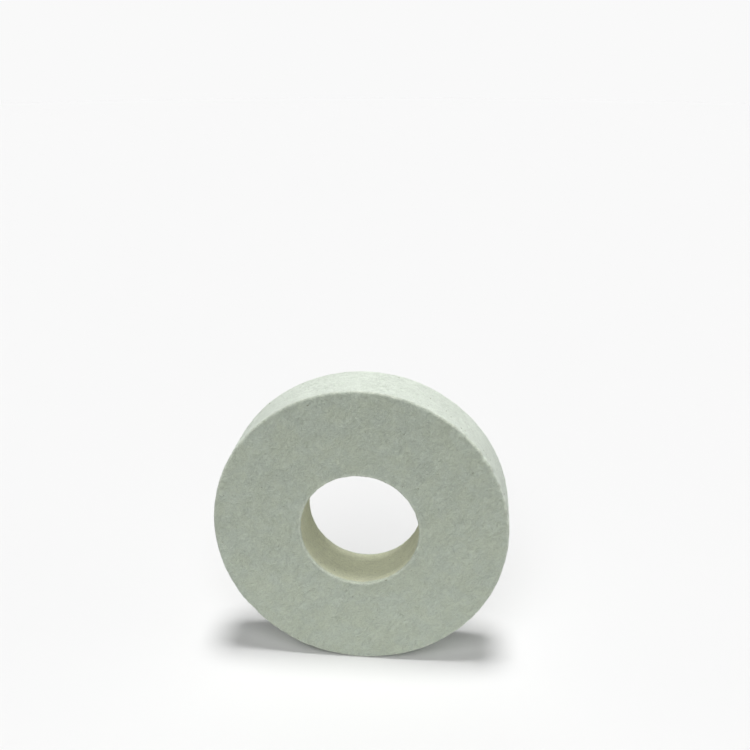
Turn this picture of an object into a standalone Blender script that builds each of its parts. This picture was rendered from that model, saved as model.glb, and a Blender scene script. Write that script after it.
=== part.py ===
"""Felt polishing wheel: a thick ring of hard pressed wool felt with a plain through bore.

The wheel is one homogeneous block of felt. It stands upright, as it does on a horizontal spindle.

Frame: metres, +Z up. The origin is the middle of the bore, half-way through the thickness.
+Y runs along the wheel's axis, from the front face (y = -thickness / 2) to the back face (y = +thickness / 2).
"""

import math

import bmesh
import bpy

# Driving dimensions, in metres.
WHEEL_DIAMETER = 0.150  # over the polishing rim
WHEEL_THICKNESS = 0.030  # face to face, the width of the rim
BORE_DIAMETER = 0.060  # plain through bore that takes the spindle's flange spigot
RIM_EDGE_RADIUS = 0.0012  # soft rounding where each face meets the rim
BORE_EDGE_RADIUS = 0.0012  # soft rounding at each mouth of the bore

# How finely the turned body is divided.
TURN_STEPS = 96  # facets round the wheel; a multiple of 4, so the box is the full diameter
EDGE_SEGMENTS = 3  # facets across each rounded edge

# The felt's colour and finish.
FELT_COLOUR = (0.60, 0.63, 0.55, 1.0)
FELT_ROUGHNESS = 0.95
FELT_METALLIC = 0.0


def clear_scene():
    """Remove whatever the file starts with."""
    for thing in list(bpy.data.objects):
        bpy.data.objects.remove(thing, do_unlink=True)


def new_collection(name):
    collection = bpy.data.collections.new(name)
    bpy.context.scene.collection.children.link(collection)
    return collection


def felt_material():
    """Dry, matt, undyed wool felt."""
    material = bpy.data.materials.new("wool_felt")
    material.use_nodes = True
    shader = material.node_tree.nodes["Principled BSDF"]
    shader.inputs["Base Color"].default_value = FELT_COLOUR
    shader.inputs["Roughness"].default_value = FELT_ROUGHNESS
    shader.inputs["Metallic"].default_value = FELT_METALLIC
    material.diffuse_color = FELT_COLOUR
    return material


def rounded_corner(r, z, dr, dz, radius):
    """Points on the quarter round that softens a corner at (r, z).

    dr and dz are -1 or +1: the side of the corner that the felt is on, across and along the axis.
    The arc starts on the corner's flat face (at z) and ends on its turned wall (at r).
    """
    centre_r, centre_z = r + dr * radius, z + dz * radius
    points = []
    for i in range(EDGE_SEGMENTS + 1):
        a = 0.5 * math.pi * i / EDGE_SEGMENTS
        points.append(
            (centre_r - dr * radius * math.sin(a), centre_z - dz * radius * math.cos(a))
        )
    return points


def wheel_section():
    """The wheel's cross-section as a closed loop of (radius, height) points.

    The loop runs down the outer side, across the lower face, up the bore wall and back across
    the upper face, so that the turned surface faces out everywhere.
    """
    outer, inner, half = WHEEL_DIAMETER / 2, BORE_DIAMETER / 2, WHEEL_THICKNESS / 2
    loop = rounded_corner(outer, half, -1, -1, RIM_EDGE_RADIUS)
    loop += reversed(rounded_corner(outer, -half, -1, 1, RIM_EDGE_RADIUS))
    loop += rounded_corner(inner, -half, 1, 1, BORE_EDGE_RADIUS)
    loop += reversed(rounded_corner(inner, half, 1, -1, BORE_EDGE_RADIUS))
    return loop


def turned_body(name, loop, collection, material):
    """A closed section turned a full circle about the object's own Z axis."""
    mesh = bpy.data.meshes.new(name)
    bm = bmesh.new()
    vertices = [bm.verts.new((r, 0.0, z)) for r, z in loop]
    for a, b in zip(vertices, vertices[1:] + vertices[:1]):
        bm.edges.new((a, b))
    bm.to_mesh(mesh)
    bm.free()

    body = bpy.data.objects.new(name, mesh)
    collection.objects.link(body)
    body.data.materials.append(material)

    screw = body.modifiers.new("Turn", "SCREW")
    screw.axis = "Z"
    screw.angle = 2 * math.pi
    screw.steps = TURN_STEPS
    screw.render_steps = TURN_STEPS
    screw.use_merge_vertices = True
    screw.merge_threshold = 0.00001
    screw.use_smooth_shade = True
    return body


clear_scene()
parts = new_collection("felt_polishing_wheel")

# The axle line: an empty at the middle of the bore, whose Z axis runs from the front face to the back face.
axle_line = bpy.data.objects.new("axle_line", None)
axle_line.empty_display_type = "SINGLE_ARROW"
axle_line.empty_display_size = WHEEL_THICKNESS
axle_line.rotation_euler = (-math.pi / 2, 0.0, 0.0)
parts.objects.link(axle_line)

# The felt: one solid ring, turned about the axle line.
felt_ring = turned_body("felt_ring", wheel_section(), parts, felt_material())
felt_ring.parent = axle_line
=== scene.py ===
"""Looks of the felt polishing wheel: a thick ring of hard pressed wool felt with a plain through bore.

The CAD ring gives the size and the place. Here it gets its felt: a finely turned body with soft,
slightly frayed edges and uneven faces, a nap of loose wool fibres, a few specks of plant matter
caught in the wool, and a wool material whose pattern is worked out from the object's own coordinates.

Frame: metres, +Z up, origin in the middle of the bore, +Y from the front face to the back face.
Angles round the wheel are measured from the top, positive towards +X.
"""

import math

import bpy
import numpy as np
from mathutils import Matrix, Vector


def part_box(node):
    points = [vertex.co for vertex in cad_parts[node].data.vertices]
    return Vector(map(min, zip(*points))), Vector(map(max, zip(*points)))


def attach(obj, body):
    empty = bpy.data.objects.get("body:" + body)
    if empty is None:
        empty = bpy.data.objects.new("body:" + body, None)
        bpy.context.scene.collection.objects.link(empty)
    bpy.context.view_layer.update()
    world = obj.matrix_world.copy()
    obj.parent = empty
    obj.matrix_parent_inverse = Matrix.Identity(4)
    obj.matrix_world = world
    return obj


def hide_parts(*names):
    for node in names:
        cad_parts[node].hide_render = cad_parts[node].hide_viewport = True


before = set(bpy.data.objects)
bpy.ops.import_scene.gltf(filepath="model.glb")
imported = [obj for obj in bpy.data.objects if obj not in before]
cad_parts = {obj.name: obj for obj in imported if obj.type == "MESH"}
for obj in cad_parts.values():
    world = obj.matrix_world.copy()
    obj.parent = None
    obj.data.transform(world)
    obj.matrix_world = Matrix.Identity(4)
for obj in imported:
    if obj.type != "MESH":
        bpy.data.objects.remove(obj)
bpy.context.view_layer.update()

# ---------------------------------------------------------------- sizes, in millimetres
MM = 0.001
low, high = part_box("felt_ring")
RIM_R = (high.x - low.x) / 2 / MM
HALF_T = (high.y - low.y) / 2 / MM
BORE_R = min(math.hypot(v.co.x, v.co.z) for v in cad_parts["felt_ring"].data.vertices) / MM
BORE_R = round(BORE_R, 2)

TURN = 560  # quads round the wheel
FACE_STEPS, RIM_STEPS, BORE_STEPS, EDGE_STEPS = 46, 30, 24, 7  # quads across each part of the section


# ---------------------------------------------------------------- noise
def noise(points, seed, size=1.0):
    """Smooth gradient noise, about -1 to 1, with features of about size millimetres."""
    rng = np.random.default_rng(seed)
    order = np.concatenate([rng.permutation(256)] * 2)
    slopes = rng.normal(size=(256, 3))
    slopes /= np.linalg.norm(slopes, axis=1)[:, None]
    p = np.asarray(points, float).reshape(-1, 3) / size + rng.uniform(0, 64, 3)
    cell = np.floor(p).astype(int)
    f = p - cell
    ease = f * f * f * (f * (f * 6 - 15) + 10)
    total = np.zeros(len(p))
    for dx in (0, 1):
        for dy in (0, 1):
            for dz in (0, 1):
                a = order[(cell[:, 0] + dx) & 255]
                b = order[(a + cell[:, 1] + dy) & 255]
                c = order[(b + cell[:, 2] + dz) & 255]
                away = f - (dx, dy, dz)
                weight = (
                    (ease[:, 0] if dx else 1 - ease[:, 0])
                    * (ease[:, 1] if dy else 1 - ease[:, 1])
                    * (ease[:, 2] if dz else 1 - ease[:, 2])
                )
                total += weight * (slopes[c] * away).sum(1)
    return (total * 1.7).reshape(np.shape(points)[:-1])


def round_noise(theta, seed, waves):
    """Noise that runs round the wheel without a seam, with about that many waves a turn."""
    r = waves / (2 * math.pi) * 2
    circle = np.stack([r * np.sin(theta), np.zeros_like(theta), r * np.cos(theta)], -1)
    return noise(circle, seed)


def bump_at(theta, degrees, width):
    """1 at that angle round the wheel, falling to 0 over about width degrees."""
    away = (theta - math.radians(degrees) + math.pi) % (2 * math.pi) - math.pi
    return np.exp(-((np.degrees(away) / width) ** 2))


# ---------------------------------------------------------------- the felt body
def smooth_steps(n, crowd=0.35):
    """n + 1 places from 0 to 1, closer together near both ends."""
    t = np.linspace(0, 1, n + 1)
    return t - crowd * np.sin(2 * math.pi * t) / (2 * math.pi)


def felt_grid():
    """The felt's surface as a grid of points (TURN, section, 3) in mm, and the section's running length.

    The section goes out along the front face, over the front edge, back along the rim, over the back
    edge, in along the back face, and forward through the bore."""
    theta = np.arange(TURN) * (2 * math.pi / TURN)
    rim_r = RIM_R + 0.10 * round_noise(theta, 11, 5) + 0.05 * round_noise(theta, 12, 17)
    bore_r = BORE_R + 0.12 * round_noise(theta, 13, 6) + 0.05 * round_noise(theta, 14, 19)
    worn = bump_at(theta, 60, 27)  # the stretch of the front edge that is most worn
    round_front = 1.40 + 0.30 * round_noise(theta, 15, 14) + 0.55 * worn
    round_back = 1.30 + 0.28 * round_noise(theta, 16, 14)
    mouth_front = 0.85 + 0.28 * round_noise(theta, 17, 12) + 0.15 * bump_at(theta, 180, 50)
    mouth_back = 0.95 + 0.20 * round_noise(theta, 18, 12)
    one = np.ones_like(theta)

    radius, depth, out, back = [], [], [], []  # the last two are the normal's parts

    def add(r, y, nr, ny):
        radius.append(r), depth.append(y), out.append(nr * one), back.append(ny * one)

    def flat(r0, y0, r1, y1, nr, ny, steps):
        for t in smooth_steps(steps)[:-1]:
            add(r0 + (r1 - r0) * t, y0 + (y1 - y0) * t, nr, ny)

    def corner(centre_r, centre_y, size, start, steps):
        for k in range(steps):
            a = start + 0.5 * math.pi * k / steps
            add(centre_r + size * math.cos(a), centre_y + size * math.sin(a), math.cos(a), math.sin(a))

    h = HALF_T
    flat(bore_r + mouth_front, -h * one, rim_r - round_front, -h * one, 0, -1, FACE_STEPS)
    corner(rim_r - round_front, -h + round_front, round_front, -0.5 * math.pi, EDGE_STEPS)
    flat(rim_r, -h + round_front, rim_r, h - round_back, 1, 0, RIM_STEPS)
    corner(rim_r - round_back, h - round_back, round_back, 0.0, EDGE_STEPS)
    flat(rim_r - round_back, h * one, bore_r + mouth_back, h * one, 0, 1, FACE_STEPS)
    corner_in = lambda cr, cy, size, start: corner(cr, cy, size, start, EDGE_STEPS)
    corner_in(bore_r + mouth_back, h - mouth_back, mouth_back, 0.5 * math.pi)
    flat(bore_r, h - mouth_back, bore_r, -h + mouth_front, -1, 0, BORE_STEPS)
    corner_in(bore_r + mouth_front, -h + mouth_front, mouth_front, math.pi)

    radius, depth, out, back = (np.stack(np.broadcast_arrays(*x), 1) for x in (radius, depth, out, back))
    sin, cos = np.sin(theta)[:, None], np.cos(theta)[:, None]
    base = np.stack([radius * sin, depth, radius * cos], -1)
    normal = np.stack([out * sin, back, out * cos], -1)

    step = np.hypot(np.diff(radius.mean(0), append=radius.mean(0)[0]), np.diff(depth.mean(0), append=depth.mean(0)[0]))
    run = np.concatenate([[0], np.cumsum(step)])  # run[j] is the length up to column j, run[-1] the whole way round
    marks = np.cumsum([0, FACE_STEPS, EDGE_STEPS, RIM_STEPS, EDGE_STEPS, FACE_STEPS, EDGE_STEPS, BORE_STEPS, EDGE_STEPS])
    edges = {
        "front_rim": run[marks[1] + 3],
        "back_rim": run[marks[3] + 3],
        "back_bore": run[marks[5] + 3],
        "front_bore": run[marks[7] + 3],
    }

    def near(place, width):
        away = (run[:-1] - place + run[-1] / 2) % run[-1] - run[-1] / 2
        return np.exp(-((away / width) ** 2))[None, :]

    # The skin of the felt: slow waves from the pressing, then lumps of matted wool.
    lift = 0.07 * noise(base, 21, 34.0) + 0.05 * noise(base, 22, 13.0)
    lumps = noise(base * (1, 2.2, 1), 23, 4.4)
    lift += 0.030 * lumps + 0.022 * noise(base * (1, 1.6, 1), 24, 2.3)
    lift += 0.018 * np.minimum(0, 0.25 - np.abs(noise(base, 25, 5.5))) * 4

    # Along each edge the cut has dragged fibres up and left small gaps.
    ragged = noise(base, 31, 2.1) + 0.8 * noise(base, 32, 3.9)
    for name, amount in (("front_rim", 0.10), ("back_rim", 0.09), ("back_bore", 0.07), ("front_bore", 0.10)):
        strength = amount * (1 + 0.5 * round_noise(theta, len(name) + 33, 9))
        if name == "front_rim":
            strength = strength + 0.25 * worn
        lift += strength[:, None] * near(edges[name], 1.3) * ragged

    # On the worn stretch the edge has gone lumpy.
    lift += (0.10 + 0.60 * worn)[:, None] * near(edges["front_rim"], 1.7) * (noise(base, 34, 5.6) + 0.4 * noise(base, 35, 2.8))

    # A low lip of felt stands round each mouth of the bore, higher at the bottom of the front one.
    lip = 0.22 + 0.12 * round_noise(theta, 41, 13) + 0.10 * round_noise(theta, 42, 41) + 0.16 * bump_at(theta, 180, 50)
    lip += 0.30 * bump_at(theta, 166, 7) + 0.16 * bump_at(theta, -168, 9)
    forward = lip[:, None] * near(edges["front_bore"] + 0.50, 0.66)
    lift += (0.12 * round_noise(theta, 44, 29) + 0.40 * bump_at(theta, 166, 6) + 0.18 * bump_at(theta, -170, 8))[:, None] * near(
        edges["front_bore"] - 0.4, 0.9
    )
    backward = (0.14 + 0.06 * round_noise(theta, 43, 13))[:, None] * near(edges["back_bore"] - 0.6, 0.7)

    # The rim is a little lower towards its edges, as a trued wheel is after some use.
    on_rim = (out > 0.999) & (radius > RIM_R - 3)
    lift -= np.where(on_rim, 0.16 * (depth / HALF_T) ** 4, 0)

    # A nick in the lip, low on the right of the bore, and smaller ones along the worn edge.
    for degrees, place, wide, tall, deep in (
        (151, edges["front_bore"] + 0.2, 1.7, 0.9, 0.50),
        (41, edges["front_rim"] + 0.2, 0.9, 0.9, 0.22),
        (54, edges["front_rim"] + 0.6, 1.0, 1.0, 0.26),
        (66, edges["front_rim"] + 0.1, 0.9, 0.8, 0.22),
        (-153, edges["front_rim"] - 0.4, 1.1, 1.0, 0.26),
        (-131.5, edges["front_rim"] + 0.1, 1.7, 1.3, 0.46),
        (-144, edges["front_rim"] + 0.2, 1.0, 1.1, 0.24),
        (-148, edges["front_rim"] + 0.2, 1.2, 1.1, 0.28),
        (-160, edges["front_rim"] + 0.2, 1.0, 1.1, 0.24),
        (103, edges["front_rim"] + 0.3, 1.6, 1.3, 0.40),
    ):
        lift -= deep * bump_at(theta, degrees, wide)[:, None] * near(place, tall)

    skin = base + normal * lift[..., None]
    skin[..., 1] += backward - forward
    return skin, run


def grid_normals(points):
    """The displaced grid's own normals, facing out."""
    round_way = np.roll(points, -1, 0) - np.roll(points, 1, 0)
    across = np.roll(points, -1, 1) - np.roll(points, 1, 1)
    n = np.cross(round_way, across)
    return n / np.linalg.norm(n, axis=2)[..., None]


def new_object(name, vertices, faces, uv=None):
    """A mesh object from arrays, in metres. faces is (n, 3) or (n, 4), or a list of such arrays."""
    mesh = bpy.data.meshes.new(name)
    groups = faces if isinstance(faces, list) else [faces]
    loops = np.concatenate([g.ravel() for g in groups]).astype(np.int32)
    sizes = np.concatenate([np.full(len(g), g.shape[1]) for g in groups])
    starts = np.concatenate([[0], np.cumsum(sizes)[:-1]]).astype(np.int32)
    mesh.vertices.add(len(vertices))
    mesh.vertices.foreach_set("co", np.asarray(vertices, np.float32).ravel())
    mesh.loops.add(len(loops))
    mesh.loops.foreach_set("vertex_index", loops)
    mesh.polygons.add(len(sizes))
    mesh.polygons.foreach_set("loop_start", starts)
    mesh.update(calc_edges=True)
    mesh.validate()
    mesh.shade_smooth()
    if uv is not None:
        layer = mesh.uv_layers.new(name="OFBake")
        layer.uv.foreach_set("vector", np.asarray(uv, np.float32).ravel())
    thing = bpy.data.objects.new(name, mesh)
    bpy.context.scene.collection.objects.link(thing)
    return thing


def felt_body(points, run):
    turn, across = points.shape[:2]
    index = np.arange(turn * across).reshape(turn, across)
    a, b = index, np.roll(index, -1, 0)
    c, d = np.roll(b, -1, 1), np.roll(a, -1, 1)
    faces = np.stack([a, d, c, b], -1).reshape(-1, 4)
    flat = points.reshape(-1, 3)
    corners = flat[faces]
    volume = np.einsum("ij,ij->i", corners[:, 0], np.cross(corners[:, 1], corners[:, 2]) + np.cross(corners[:, 2], corners[:, 3])).sum()
    if volume < 0:
        faces = faces[:, ::-1]

    # The bake map: the section cut into four strips; the first three are also cut in half round the wheel.
    cuts = np.cumsum([0, FACE_STEPS + EDGE_STEPS, RIM_STEPS + EDGE_STEPS, FACE_STEPS + EDGE_STEPS, BORE_STEPS + EDGE_STEPS])
    row_of, halves, tops = np.zeros(across, int), (2, 2, 2, 1), []
    top, gap = 0.004, 0.005
    tall = (1 - 0.008 - gap * (sum(halves) - 1)) / sum(h * (run[b] - run[a]) for h, a, b in zip(halves, cuts, cuts[1:]))
    for k, (h, a, b) in enumerate(zip(halves, cuts, cuts[1:])):
        row_of[a:b] = k
        tops.append([top + n * ((run[b] - run[a]) * tall + gap) for n in range(h)])
        top += h * ((run[b] - run[a]) * tall + gap)
    i, j = np.divmod(np.arange(turn * across), across)
    row = row_of[j]
    parts = np.array(halves)[row]
    span = turn // parts
    part = i // span
    start = np.array([t + [0] * (2 - len(t)) for t in tops])[row, part]
    u0, u1 = 0.003 + 0.994 * (i % span) / span, 0.003 + 0.994 * (i % span + 1) / span
    v0, v1 = start + (run[j] - run[cuts[row]]) * tall, start + (run[j + 1] - run[cuts[row]]) * tall
    uv = np.stack([np.stack([u0, v0], -1), np.stack([u0, v1], -1), np.stack([u1, v1], -1), np.stack([u1, v0], -1)], 1)
    if volume < 0:
        uv = uv[:, ::-1]
    return new_object("felt_ring_body", flat * MM, np.ascontiguousarray(faces), np.ascontiguousarray(uv))


# ---------------------------------------------------------------- loose fibres
def at(grid, run, theta, length):
    """The grid's values at that angle and that length along the section."""
    turn, across = grid.shape[:2]
    i = (theta / (2 * math.pi) * turn) % turn
    j = np.interp(length % run[-1], run, np.arange(across + 1))
    i0, j0 = np.floor(i).astype(int), np.floor(j).astype(int)
    fi, fj = (i - i0)[..., None], (j - j0)[..., None]
    i0, j0 = i0 % turn, j0 % across
    i1, j1 = (i0 + 1) % turn, (j0 + 1) % across
    return (
        grid[i0, j0] * (1 - fi) * (1 - fj)
        + grid[i1, j0] * fi * (1 - fj)
        + grid[i0, j1] * (1 - fi) * fj
        + grid[i1, j1] * fi * fj
    )


def scatter(points, run, count, seed, chosen):
    """count places (theta, section length), even over the felt but for chosen's weights from 0 to 1."""
    rng = np.random.default_rng(seed)
    radius = np.hypot(points[..., 0], points[..., 2])[..., None]
    theta, length = np.zeros(0), np.zeros(0)
    while len(theta) < count:
        t, s = rng.uniform(0, 2 * math.pi, 40000), rng.uniform(0, run[-1], 40000)
        r = at(radius, run, t, s)[..., 0]
        keep = rng.uniform(0, 1, 40000) < r / RIM_R * chosen(t, s)
        theta, length = np.append(theta, t[keep]), np.append(length, s[keep])
    return theta[:count], length[:count]


def fibres(name, points, normals, run, places, seed, reach, thick, height, loose, cells, straight=1.0, combed=0.0):
    """Short fibres, each a closed three-sided tube that follows the felt with one end or both in it.

    places are (theta, section length); reach, thick, height and loose have one value for each fibre: its
    length, its radius, how far it stands off the felt, and whether its far end is free. combed is the share of
    those on the front face that lie along its diagonal."""
    rng = np.random.default_rng(seed)
    theta, length = places
    count = len(theta)
    radius = np.hypot(points[..., 0], points[..., 2])[..., None]

    K = 6
    u = np.linspace(0, 1, K)
    heading = rng.uniform(0, 2 * math.pi, count)
    along_diagonal = theta + math.radians(50) + rng.normal(0, 0.4, count)
    heading = np.where((rng.uniform(0, 1, count) < combed) & (length < run[FACE_STEPS]), along_diagonal, heading)
    bend = rng.normal(0, 1.3, count) * straight
    wiggle, phase = rng.normal(0, 0.7, count) * straight, rng.uniform(0, 6.28, count)
    t, s = theta.copy(), length.copy()
    path_t, path_s = [t.copy()], [s.copy()]
    for k in range(K - 1):
        way = heading + bend * u[k] + wiggle * np.sin(phase + 5 * u[k])
        step = reach / (K - 1)
        t = t + step * np.cos(way) / np.maximum(at(radius, run, t, s)[..., 0], 10)
        s = s + step * np.sin(way)
        path_t.append(t.copy()), path_s.append(s.copy())
    path_t, path_s = np.stack(path_t, 1), np.stack(path_s, 1)
    centre = at(points, run, path_t, path_s)
    up = at(normals, run, path_t, path_s)
    up /= np.linalg.norm(up, axis=2)[..., None]
    sunk = -1.2 * thick[:, None]
    lying = sunk + (height[:, None] - sunk) * np.sin(math.pi * u) ** 0.7
    rising = sunk + (height[:, None] - sunk) * u**1.5
    centre = centre + up * np.where(loose[:, None], rising, lying)[..., None]

    along = np.gradient(centre, axis=1)
    along /= np.linalg.norm(along, axis=2)[..., None]
    side = np.cross(along, up)
    side /= np.linalg.norm(side, axis=2)[..., None]
    top = np.cross(side, along)
    width = thick[:, None] * (0.45 + 0.55 * np.sin(math.pi * (0.12 + 0.8 * u)))
    ring = []
    for k in range(3):
        a = 2 * math.pi * k / 3 + math.pi / 2
        ring.append(centre + width[..., None] * (math.cos(a) * side + math.sin(a) * top))
    vertices = np.stack(ring, 2).reshape(-1, 3)  # fibre, place along it, corner

    first = (np.arange(count) * K * 3)[:, None, None]
    k, c = np.meshgrid(np.arange(K - 1), np.arange(3), indexing="ij")
    a, b = k * 3 + c, k * 3 + (c + 1) % 3
    quads = np.stack([a, b, b + 3, a + 3], -1).reshape(1, -1, 4) + first
    caps = np.array([[0, 2, 1], [(K - 1) * 3, (K - 1) * 3 + 1, (K - 1) * 3 + 2]])[None] + first

    # The bake map: one small cell for each fibre, laid out as a strip.
    cell = np.arange(count)
    cu, cv = (cell % cells) / cells, (cell // cells) / cells
    pad, size = 0.12 / cells, 0.76 / cells
    strip = np.stack(
        [
            np.stack([k / (K - 1), c / 3], -1),
            np.stack([k / (K - 1), (c + 1) / 3], -1),
            np.stack([(k + 1) / (K - 1), (c + 1) / 3], -1),
            np.stack([(k + 1) / (K - 1), c / 3], -1),
        ],
        2,
    ).reshape(1, -1, 2)
    origin = np.stack([cu, cv], -1)[:, None, :]
    uv_quads = origin + pad + size * strip
    end = np.array([[0, 0], [0, 1], [0.08, 0.5], [0.92, 0.5], [1, 0], [1, 1]], float)[None]
    uv_caps = origin + pad + size * end
    uv = np.concatenate([uv_quads.reshape(-1, 2), uv_caps.reshape(-1, 2)])
    return new_object(name, vertices * MM, [quads.reshape(-1, 4), caps.reshape(-1, 3)], uv)


# ---------------------------------------------------------------- materials
class Graph:
    """A short way to write a material's nodes."""

    def __init__(self, name):
        self.material = bpy.data.materials.new(name)
        self.material.use_nodes = True
        self.tree = self.material.node_tree
        self.tree.nodes.clear()
        self.out = self.tree.nodes.new("ShaderNodeOutputMaterial")
        self.shader = self.tree.nodes.new("ShaderNodeBsdfPrincipled")
        self.link(self.shader.outputs[0], self.out.inputs["Surface"])

    def link(self, a, b):
        self.tree.links.new(a, b)

    def feed(self, socket, value):
        if isinstance(value, bpy.types.NodeSocket):
            self.link(value, socket)
        elif value is not None:
            socket.default_value = value

    def new(self, kind, **settings):
        node = self.tree.nodes.new(kind)
        for key, value in settings.items():
            setattr(node, key, value)
        return node

    def math(self, operation, a, b=None, c=None):
        node = self.new("ShaderNodeMath", operation=operation)
        for socket, value in zip(node.inputs, (a, b, c)):
            self.feed(socket, value)
        return node.outputs[0]

    def vector(self, operation, a, b=None, scale=None):
        node = self.new("ShaderNodeVectorMath", operation=operation)
        self.feed(node.inputs[0], a)
        if b is not None:
            self.feed(node.inputs[1], b)
        if scale is not None:
            self.feed(node.inputs["Scale"], scale)
        return node.outputs["Value"] if operation in ("LENGTH", "DOT_PRODUCT", "DISTANCE") else node.outputs["Vector"]

    def fade(self, value, start, end, to0=0.0, to1=1.0):
        """to0 up to start, to1 from end on, with a smooth change between."""
        node = self.new("ShaderNodeMapRange", interpolation_type="SMOOTHSTEP")
        self.feed(node.inputs["Value"], value)
        node.inputs["From Min"].default_value, node.inputs["From Max"].default_value = start, end
        node.inputs["To Min"].default_value, node.inputs["To Max"].default_value = to0, to1
        return node.outputs["Result"]

    def placed(self, vector, turn=(0, 0, 0), scale=(1, 1, 1), shift=(0, 0, 0)):
        node = self.new("ShaderNodeMapping")
        self.feed(node.inputs["Vector"], vector)
        node.inputs["Rotation"].default_value = [math.radians(a) for a in turn]
        node.inputs["Scale"].default_value = scale
        node.inputs["Location"].default_value = shift
        return node.outputs[0]

    def noise(self, vector, scale, detail=2.0, roughness=0.5, distortion=0.0, colour=False):
        node = self.new("ShaderNodeTexNoise", noise_dimensions="3D")
        self.feed(node.inputs["Vector"], vector)
        node.inputs["Scale"].default_value = scale
        node.inputs["Detail"].default_value = detail
        node.inputs["Roughness"].default_value = roughness
        node.inputs["Distortion"].default_value = distortion
        return node.outputs["Color"] if colour else node.outputs["Fac"]

    def cells(self, vector, scale, randomness=1.0):
        node = self.new("ShaderNodeTexVoronoi", voronoi_dimensions="3D", feature="F1")
        self.feed(node.inputs["Vector"], vector)
        node.inputs["Scale"].default_value = scale
        node.inputs["Randomness"].default_value = randomness
        return node.outputs["Distance"], node.outputs["Color"]

    def mix(self, share, a, b, blend="MIX"):
        node = self.new("ShaderNodeMix", data_type="RGBA", blend_type=blend)
        self.feed(node.inputs[0], share)
        self.feed(node.inputs[6], a)
        self.feed(node.inputs[7], b)
        return node.outputs[2]

    def sum(self, *parts):
        """The sum of (socket, weight) pairs."""
        total = None
        for socket, weight in parts:
            total = self.math("MULTIPLY", socket, weight) if total is None else self.math("MULTIPLY_ADD", socket, weight, total)
        return total


def threads(g, place, size, stretch, turn, shift, width, often=None):
    """Meandering threads: the lines along which a stretched, curled noise crosses its middle.

    often, from 0 to 1, breaks them into pieces that cover about that share of the surface."""
    laid = g.placed(g.placed(place, turn=(0, turn, 0)), scale=(1 / (size * stretch), 1 / size, 1 / size))
    laid = g.placed(laid, turn=(27, 41, 33), shift=shift)
    n = g.noise(laid, 1.0, detail=1.6, roughness=0.55, distortion=0.5)
    line = g.fade(g.math("ABSOLUTE", g.math("SUBTRACT", n, 0.5)), 0.0, width, 1.0, 0.0)
    if often is None:
        return line
    gap = g.noise(g.placed(laid, shift=(7, 3, 5)), 0.9, detail=1.0)
    middle = 0.5 + 0.22 * (0.5 - often)
    return g.math("MULTIPLY", line, g.fade(gap, middle - 0.05, middle + 0.05))


SHADED_FACE_WOOL = (0.590, 0.654, 0.546, 1)  # the pressed faces, darker than the rim partly as pressed wool and partly as painted shade of the small shadows among the fibres
RIM_WOOL = (0.785, 0.850, 0.755, 1)  # the trued rim, a little whiter as freshly trued wool; the faces' painted shade adds to the difference
BORE_WOOL_PAINTED_BOUNCE = (0.803, 0.828, 0.622, 1)  # the cut bore, with a painted reflection: the warm yellow of light bounced into the bore is painted into its colour
EDGE_WEAR_AND_LIP_HIGHLIGHT_WOOL = (0.765, 0.815, 0.700, 1)  # the edges, rubbed pale; round the bore's mouths partly a painted highlight where the lip catches the light from above


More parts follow.
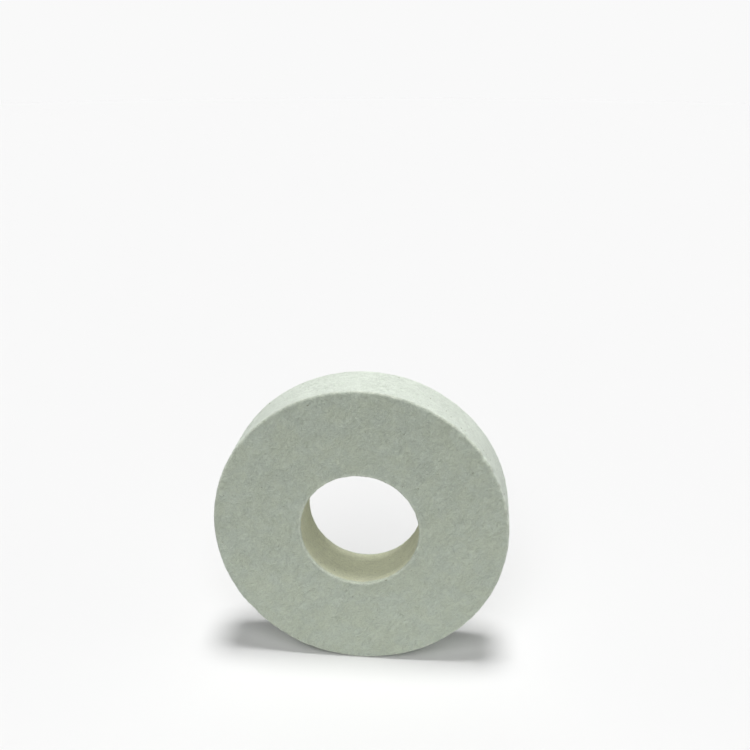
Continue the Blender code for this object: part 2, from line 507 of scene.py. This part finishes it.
def wool_felt(name):
    g = Graph(name)
    where = g.new("ShaderNodeTexCoord").outputs["Object"]
    place = g.vector("SCALE", where, scale=1000.0)  # millimetres
    split = g.new("ShaderNodeSeparateXYZ")
    g.feed(split.inputs[0], place)
    x, y, z = split.outputs
    r = g.vector("LENGTH", g.vector("MULTIPLY", place, (1, 0, 1)))
    to_face = g.math("MAXIMUM", g.math("SUBTRACT", HALF_T, g.math("ABSOLUTE", y)), 0.0)  # depth under the nearer face
    to_rim = g.math("MAXIMUM", g.math("SUBTRACT", RIM_R, r), 0.0)
    to_bore = g.math("MAXIMUM", g.math("SUBTRACT", r, BORE_R), 0.0)

    on_rim = g.math("MULTIPLY", g.fade(to_rim, 0.35, 1.1, 1, 0), g.fade(to_face, 0.05, 0.9))
    in_bore = g.math("MULTIPLY", g.fade(to_bore, 0.35, 1.2, 1, 0), g.fade(to_face, 0.2, 1.6))

    skew = g.placed(place, turn=(31, 43, 19))  # turned, so that no pattern lines up with the axes
    warp = g.noise(skew, 0.16, detail=2, colour=True)
    curled = g.vector("ADD", place, g.vector("SCALE", g.vector("SUBTRACT", warp, (0.5, 0.5, 0.5)), scale=6.0))
    warp2 = g.noise(skew, 0.7, detail=1, colour=True)
    curly = g.vector("ADD", curled, g.vector("SCALE", g.vector("SUBTRACT", warp2, (0.5, 0.5, 0.5)), scale=1.2))

    # Tufts of matted wool, a few tenths of a millimetre wide, and the finer fibres between them.
    # They lie in the plane of the faces in all directions, with a few more along one diagonal.
    tufts = None
    for size, stretch, turn, shift, width, often in (
        (1.45, 2.8, 48, (3.1, 8.7, 1.9), 0.080, 0.60),
        (1.25, 3.0, 62, (21.3, 2.2, 6.4), 0.075, 0.55),
        (1.35, 2.9, 33, (9.3, 12.2, 2.4), 0.075, 0.45),
        (1.55, 2.4, -18, (5.9, 14.6, 9.2), 0.080, 0.40),
        (1.30, 2.6, 108, (15.9, 4.6, 19.2), 0.075, 0.40),
    ):
        layer = threads(g, curly, size, stretch, turn, shift, width, often)
        tufts = layer if tufts is None else g.math("MAXIMUM", tufts, layer)
    web = None
    for size, stretch, turn, shift, width in (
        (0.62, 4.5, 12, (3.1, 8.7, 1.9), 0.040),
        (0.55, 5.0, 57, (11.3, 2.2, 6.4), 0.036),
        (0.70, 4.0, 118, (5.9, 14.6, 9.2), 0.040),
    ):
        layer = threads(g, curled, size, stretch, turn, shift, width)
        web = layer if web is None else g.math("MAXIMUM", web, layer)

    # Broad strokes where the wool was combed before it was pressed, strong in some places and gone in others.
    strokes = None
    for turn, shift, patch_shift, weight in ((50, (4.1, 9.3, 2.7), (3, 8, 1), 1.0), (22, (14.2, 1.8, 7.7), (12, 4, 9), 0.6)):
        laid = g.placed(g.placed(curled, turn=(0, turn, 0)), scale=(1 / 5.2, 1 / 1.25, 1 / 1.25))
        layer = g.noise(g.placed(laid, turn=(27, 41, 33), shift=shift), 1.0, detail=1.2, roughness=0.45)
        here = g.fade(g.noise(g.placed(skew, shift=patch_shift), 0.085, detail=1), 0.36, 0.60, 0.35, 1.15)
        layer = g.math("MULTIPLY", g.math("SUBTRACT", layer, 0.5), g.math("MULTIPLY", here, weight))
        strokes = layer if strokes is None else g.math("ADD", strokes, layer)
    turned = g.math("MAXIMUM", on_rim, in_bore)
    strokes = g.math("MULTIPLY", strokes, g.fade(turned, 0.0, 1.0, 1.0, 0.55))  # fainter where the felt was cut

    curly_skew = g.placed(curly, turn=(17, 52, 38))
    grain = g.noise(skew, 1.0, detail=3, roughness=0.62)
    fine = g.noise(skew, 2.4, detail=2, roughness=0.6)
    shaded_pits = g.fade(g.noise(curly_skew, 0.85, detail=2, roughness=0.55), 0.30, 0.44, 1, 0)  # painted shade: the gaps between tufts darkened, and sunk in the bump
    lumps = g.noise(curly_skew, 0.30, detail=2, roughness=0.5)
    patch = g.noise(skew, 0.07, detail=2, roughness=0.5)
    cast = g.noise(g.placed(skew, shift=(40, 7, 23)), 0.08, detail=5, roughness=0.72)
    layered = g.noise(g.placed(place, scale=(0.30, 1.4, 0.30)), 1.0, detail=3, roughness=0.6)

    # Shade: one factor that the wool's colour is multiplied by. Most of it is the wool's own uneven tone; the lift on
    # the tufts is partly painted highlight, and the darkened pits are painted shade.
    shade = g.sum(
        (g.math("SUBTRACT", tufts, 0.35), 0.105),
        (strokes, 0.230),
        (shaded_pits, -0.080),
        (g.math("SUBTRACT", grain, 0.5), 0.080),
        (g.math("SUBTRACT", fine, 0.5), 0.130),
        (g.math("SUBTRACT", lumps, 0.5), 0.020),
        (g.math("SUBTRACT", patch, 0.5), 0.150),
        (g.math("SUBTRACT", web, 0.35), 0.035),
    )
    shade = g.math("MULTIPLY_ADD", g.math("SUBTRACT", layered, 0.5), g.math("MULTIPLY", turned, 0.27), shade)
    shade = g.math("ADD", shade, 1.0)

    # Specks: small dark bits, and lighter burls of undyed wool.
    near, kind = g.cells(g.placed(place, shift=(9, 31, 4)), 0.34)
    chance = g.new("ShaderNodeSeparateColor")
    g.feed(chance.inputs[0], kind)
    speck = g.math("MULTIPLY", g.fade(near, 0.05, 0.14, 1, 0), g.fade(chance.outputs[0], 0.10, 0.12, 1, 0))
    near2, kind2 = g.cells(g.placed(place, shift=(2, 17, 28)), 0.42)
    chance2 = g.new("ShaderNodeSeparateColor")
    g.feed(chance2.inputs[0], kind2)
    burl = g.math("MULTIPLY", g.fade(near2, 0.08, 0.24, 1, 0), g.fade(chance2.outputs[0], 0.20, 0.22, 1, 0))
    shade = g.math("MULTIPLY", shade, g.fade(speck, 0.0, 1.0, 1.0, 0.86))
    shade = g.math("MULTIPLY", shade, g.fade(burl, 0.0, 1.0, 1.0, 1.06))

    # Handling has left a few faint smudges.
    smudge = g.fade(g.noise(g.placed(curly, turn=(21, 9, 57), shift=(6, 2, 19)), 0.16, detail=3, roughness=0.6), 0.60, 0.72)
    shade = g.math("MULTIPLY", shade, g.fade(smudge, 0.0, 1.0, 1.0, 0.955))

    # Wear and painted highlight: the edges are rubbed paler, and unevenly so; round the bore's mouths the paler ring is
    # partly a painted highlight on the lip.
    corner = g.math("SQRT", g.math("ADD", g.math("POWER", to_face, 2.0), g.math("POWER", to_rim, 2.0)))
    mouth = g.math("SQRT", g.math("ADD", g.math("POWER", to_face, 2.0), g.math("POWER", to_bore, 2.0)))
    patchy = g.fade(g.noise(place, 0.45, detail=3, roughness=0.7), 0.36, 0.66)
    wear_and_lip_highlight = g.math("MAXIMUM", g.math("MULTIPLY", g.fade(corner, 0.4, 1.7, 0.9, 0), patchy), g.math("MULTIPLY", g.fade(mouth, 0.7, 1.8, 1, 0), g.fade(patchy, 0.0, 1.0, 0.20, 0.60)))

    # The faces' colour carries painted shade: the small shadows among the fibres.
    near_face = (SHADED_FACE_WOOL[0] * 0.990, SHADED_FACE_WOOL[1] * 0.994, SHADED_FACE_WOOL[2] * 1.016, 1)
    far_face = (SHADED_FACE_WOOL[0] * 1.008, SHADED_FACE_WOOL[1] * 1.004, SHADED_FACE_WOOL[2] * 0.984, 1)
    colour = g.mix(g.fade(cast, 0.36, 0.64), near_face, far_face)
    colour = g.mix(on_rim, colour, RIM_WOOL)
    # Painted reflection: the bore gets a warm yellow cast of bounced light.
    colour = g.mix(in_bore, colour, BORE_WOOL_PAINTED_BOUNCE)
    # The rubbed edges, and round the bore's mouths partly a painted highlight on the lip.
    colour = g.mix(wear_and_lip_highlight, colour, EDGE_WEAR_AND_LIP_HIGHLIGHT_WOOL)
    tint = g.new("ShaderNodeCombineXYZ")
    for socket in tint.inputs:
        g.feed(socket, shade)
    colour = g.mix(1.0, colour, tint.outputs[0], "MULTIPLY")
    g.feed(g.shader.inputs["Base Color"], colour)

    g.feed(g.shader.inputs["Roughness"], g.fade(g.sum((grain, 0.6), (tufts, 0.25), (web, 0.1)), 0.2, 0.75, 0.97, 0.84))

    height = g.sum((tufts, 0.55), (web, 0.22), (grain, 0.9), (fine, 0.35), (lumps, 0.5), (strokes, 2.2), (shaded_pits, -0.35), (layered, 0.25))
    bump = g.new("ShaderNodeBump")
    bump.inputs["Strength"].default_value = 0.7
    bump.inputs["Distance"].default_value = 0.00030
    g.feed(bump.inputs["Height"], height)
    g.feed(g.shader.inputs["Normal"], bump.outputs[0])

    g.shader.inputs["Metallic"].default_value = 0.0
    g.shader.inputs["Specular IOR Level"].default_value = 0.2
    g.shader.inputs["Sheen Weight"].default_value = 0.12
    g.shader.inputs["Sheen Roughness"].default_value = 0.6
    return g.material


def wool_fibre(name):
    g = Graph(name)
    where = g.new("ShaderNodeTexCoord").outputs["Object"]
    place = g.vector("SCALE", where, scale=1000.0)
    r = g.vector("LENGTH", g.vector("MULTIPLY", place, (1, 0, 1)))
    split = g.new("ShaderNodeSeparateXYZ")
    g.feed(split.inputs[0], place)
    to_face = g.math("SUBTRACT", HALF_T, g.math("ABSOLUTE", split.outputs[1]))
    in_bore = g.math("MULTIPLY", g.fade(r, BORE_R + 0.3, BORE_R + 1.2, 1, 0), g.fade(to_face, 0.2, 1.6))
    on_rim = g.math("MULTIPLY", g.fade(r, RIM_R - 1.1, RIM_R - 0.3), g.fade(to_face, 0.15, 1.1))
    tone = g.noise(place, 0.45, detail=2, roughness=0.6)
    colour = g.mix(g.fade(tone, 0.3, 0.7), (0.60, 0.66, 0.55, 1), (0.70, 0.76, 0.66, 1))
    colour = g.mix(on_rim, colour, RIM_WOOL)
    # Fibres in the bore take its painted reflection, the yellow cast of bounced light.
    colour = g.mix(in_bore, colour, BORE_WOOL_PAINTED_BOUNCE)
    g.feed(g.shader.inputs["Base Color"], colour)
    g.feed(g.shader.inputs["Roughness"], g.fade(tone, 0.3, 0.7, 0.75, 0.9))
    bump = g.new("ShaderNodeBump")  # the scales of a wool fibre
    bump.inputs["Strength"].default_value, bump.inputs["Distance"].default_value = 0.5, 0.00003
    g.feed(bump.inputs["Height"], g.noise(place, 7.0, detail=2, roughness=0.6))
    g.feed(g.shader.inputs["Normal"], bump.outputs[0])
    g.shader.inputs["Specular IOR Level"].default_value = 0.25
    g.shader.inputs["Sheen Weight"].default_value = 0.1
    return g.material


def wool_fleck(name):
    g = Graph(name)
    where = g.new("ShaderNodeTexCoord").outputs["Object"]
    place = g.vector("SCALE", where, scale=1000.0)
    tone = g.noise(place, 0.9, detail=3, roughness=0.7)
    g.feed(g.shader.inputs["Base Color"], g.mix(g.fade(tone, 0.3, 0.7), (0.24, 0.25, 0.18, 1), (0.42, 0.43, 0.32, 1)))
    g.feed(g.shader.inputs["Roughness"], g.fade(tone, 0.3, 0.7, 0.6, 0.8))
    bump = g.new("ShaderNodeBump")  # the grain of dry straw
    bump.inputs["Strength"].default_value, bump.inputs["Distance"].default_value = 0.6, 0.00006
    g.feed(bump.inputs["Height"], g.noise(place, 5.0, detail=3, roughness=0.65))
    g.feed(g.shader.inputs["Normal"], bump.outputs[0])
    g.shader.inputs["Specular IOR Level"].default_value = 0.3
    return g.material


# ---------------------------------------------------------------- the object
points, run = felt_grid()
normals = grid_normals(points)
outward = np.einsum("ijk,ijk->ij", normals, points * (1, 1, 1) - np.stack([points[..., 0], points[..., 1] * 0, points[..., 2]], -1) * ((RIM_R + BORE_R) / 2 / np.hypot(points[..., 0], points[..., 2]))[..., None]).sum()
if outward < 0:
    normals = -normals

felt = felt_body(points, run)
felt.data.materials.append(wool_felt("wool_felt_surface"))
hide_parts("felt_ring")
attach(felt, "root")

front_end = run[FACE_STEPS + EDGE_STEPS + RIM_STEPS // 2]  # half-way along the rim
bore_mid = run[2 * FACE_STEPS + 3 * EDGE_STEPS + RIM_STEPS + BORE_STEPS // 2]
edge_places = [run[FACE_STEPS + 3], run[FACE_STEPS + EDGE_STEPS + RIM_STEPS + 3], run[2 * FACE_STEPS + 2 * EDGE_STEPS + RIM_STEPS + 3], run[-1] - (run[-1] - run[-1 - EDGE_STEPS]) / 2]


def nap_weight(front):
    def chosen(theta, s):
        is_front = (s < front_end) | (s > bore_mid)
        near_edge = sum(np.exp(-(((s - e + run[-1] / 2) % run[-1] - run[-1] / 2) / 1.6) ** 2) for e in edge_places)
        worn = bump_at(theta, 58, 26) * np.exp(-((s - edge_places[0]) / 1.6) ** 2)
        return np.where(is_front == front, 0.30 + 0.40 * near_edge + 0.3 * worn, 0.0)

    return chosen


fibre_wool = wool_fibre("wool_fibre")
NAP = 5600
for name, front, seed in (("nap_front", True, 71), ("nap_back", False, 72)):
    rng = np.random.default_rng(seed + 10)
    places = scatter(points, run, NAP, seed, nap_weight(front))
    loose = rng.uniform(0, 1, NAP) < 0.22
    tufts = ~loose & (rng.uniform(0, 1, NAP) < 0.32)  # strands of fibres that cling together
    height = np.where(loose, rng.gamma(2.0, 0.16, NAP).clip(0.1, 1.1), rng.uniform(0.02, 0.12, NAP))
    nap = fibres(
        name, points, normals, run, places, seed + 20,
        reach=rng.gamma(4.0, 0.75, NAP).clip(1.2, 7.0),
        thick=np.where(tufts, rng.uniform(0.06, 0.13, NAP), rng.uniform(0.018, 0.034, NAP)),
        height=height, loose=loose, cells=75, combed=0.5,
    )
    nap.data.materials.append(fibre_wool)
    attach(nap, "root")

# Bits of straw and burr caught in the wool: (radius, angle) on the front face, (distance behind the middle, angle) on the
# rim and in the bore.
ON_FACE = [
    (71.1, -21), (33.5, 41), (73.0, -153), (38.8, 73), (54.0, -66), (38.3, 49), (70.8, 0), (53.9, 4), (62.4, 10),
    (57.8, 22), (39.7, 57), (40.0, -74), (70.4, -77), (68.2, 16), (59.4, 63), (30.9, 152),
]
ON_RIM = [
    (-10.0, 54), (-8.1, 64), (-11.1, 41), (-7.5, 36), (-9.7, 56), (0.8, 43), (-5.2, 34), (-10.3, 43), (-10.7, 26),
    (-9.4, 59), (-1.2, 27),
]
IN_BORE = [(-10.4, -137), (-9.5, -152), (-5.6, 166), (-3.9, 180)]
rng = np.random.default_rng(91)
more = scatter(points, run, 46, 92, lambda t, s: np.where(s < run[FACE_STEPS], 0.25, 1.0))
fleck_t = np.concatenate([np.radians([a for _, a in ON_FACE]), np.radians([a for _, a in ON_RIM]), np.radians([a for _, a in IN_BORE]), more[0]])
fleck_s = np.concatenate(
    [
        [r - BORE_R - 0.8 for r, _ in ON_FACE],
        [run[FACE_STEPS + EDGE_STEPS] + y + HALF_T - 0.95 for y, _ in ON_RIM],
        [run[-1 - EDGE_STEPS] - (y + HALF_T - 0.9) for y, _ in IN_BORE],
        more[1],
    ]
)
FLECKS = len(fleck_t)
size = rng.uniform(0.7, 1.2, FLECKS)
size[0] = 1.7
size[len(ON_FACE) - 1] = 1.9  # the bit beside the notch in the bore's lip
flecks = fibres(
    "wool_flecks", points, normals, run, (fleck_t % (2 * math.pi), fleck_s), 93,
    reach=0.95 * size, thick=0.17 * size, height=0.05 * size, loose=np.zeros(FLECKS, bool), cells=9, straight=0.4,
)
flecks.data.materials.append(wool_fleck("wool_fleck"))
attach(flecks, "root")

# ---------------------------------------------------------------- stage, light and camera
floor_z = points[..., 2].min() * MM


def disc(name, radius, z, rings=1, sides=96):
    a = np.arange(sides) * 2 * math.pi / sides
    vertices = np.concatenate([[[0, 0, z]], np.stack([radius * np.cos(a), radius * np.sin(a), np.full(sides, z)], -1)])
    i = np.arange(sides)
    return new_object(name, vertices, np.stack([np.zeros(sides, int), 1 + i, 1 + (i + 1) % sides], -1))


def paper(name, grey):
    g = Graph(name)
    g.shader.inputs["Base Color"].default_value = (grey, grey, grey, 1)
    g.shader.inputs["Roughness"].default_value = 1.0
    g.shader.inputs["Specular IOR Level"].default_value = 0.0
    return g.material


# The white paper that is seen, and the greyer table that lights the wheel from below.
floor = disc("studio_floor", 4.0, floor_z)
floor.data.materials.append(paper("floor_paper", 0.84))
floor.visible_diffuse = floor.visible_glossy = floor.visible_shadow = False
table = disc("studio_table", 0.48, floor_z - 0.0002)
table.data.materials.append(paper("table_grey", 0.66))
table.visible_camera = table.visible_shadow = False

world = bpy.data.worlds.new("studio")
bpy.context.scene.world = world
world.use_nodes = True
tree = world.node_tree
tree.nodes.clear()
seen, lit = tree.nodes.new("ShaderNodeBackground"), tree.nodes.new("ShaderNodeBackground")
seen.inputs["Color"].default_value, seen.inputs["Strength"].default_value = (1, 1, 1, 1), 0.948
lit.inputs["Color"].default_value, lit.inputs["Strength"].default_value = (1, 1, 1, 1), 0.05
which, join, out = (tree.nodes.new(k) for k in ("ShaderNodeLightPath", "ShaderNodeMixShader", "ShaderNodeOutputWorld"))
tree.links.new(which.outputs["Is Camera Ray"], join.inputs[0])
tree.links.new(lit.outputs[0], join.inputs[1])
tree.links.new(seen.outputs[0], join.inputs[2])
tree.links.new(join.outputs[0], out.inputs["Surface"])


def sun(name, strength, spread, towards, colour=(1, 1, 1)):
    """A broad, even light. towards is the way it shines."""
    data = bpy.data.lights.new(name, "SUN")
    data.energy, data.angle, data.color = strength * math.pi, math.radians(spread), colour
    lamp = bpy.data.objects.new(name, data)
    lamp.rotation_euler = Vector(towards).to_track_quat("-Z", "Y").to_euler()
    bpy.context.scene.collection.objects.link(lamp)
    return lamp


sun("top_softbox", 0.76, 18, (-0.03, 0.0, -1.0))
sun("front_softbox", 0.36, 40, (0.0, 0.95, -1.0))
sun("front_fill", 0.05, 60, (-0.1, 1.0, -0.1))
sun("right_fill", 0.13, 50, (-1.0, 0.15, -0.05))
sun("back_fill", 0.20, 60, (0.22, -1.0, -0.10))

camera = bpy.data.objects.new("camera", bpy.data.cameras.new("camera"))
camera.data.lens, camera.data.sensor_width = 48.0, 36.0
camera.data.clip_start, camera.data.clip_end = 0.01, 20.0
camera.location = (0.05340, -0.46035, 0.24283)
camera.rotation_mode = "QUATERNION"
camera.rotation_quaternion = Vector((-0.09567, 0.93733, -0.33514)).to_track_quat("-Z", "Y")
bpy.context.scene.collection.objects.link(camera)
bpy.context.scene.camera = camera
bpy.context.scene.view_settings.view_transform = "Standard"
bpy.context.scene.view_settings.look = "None"
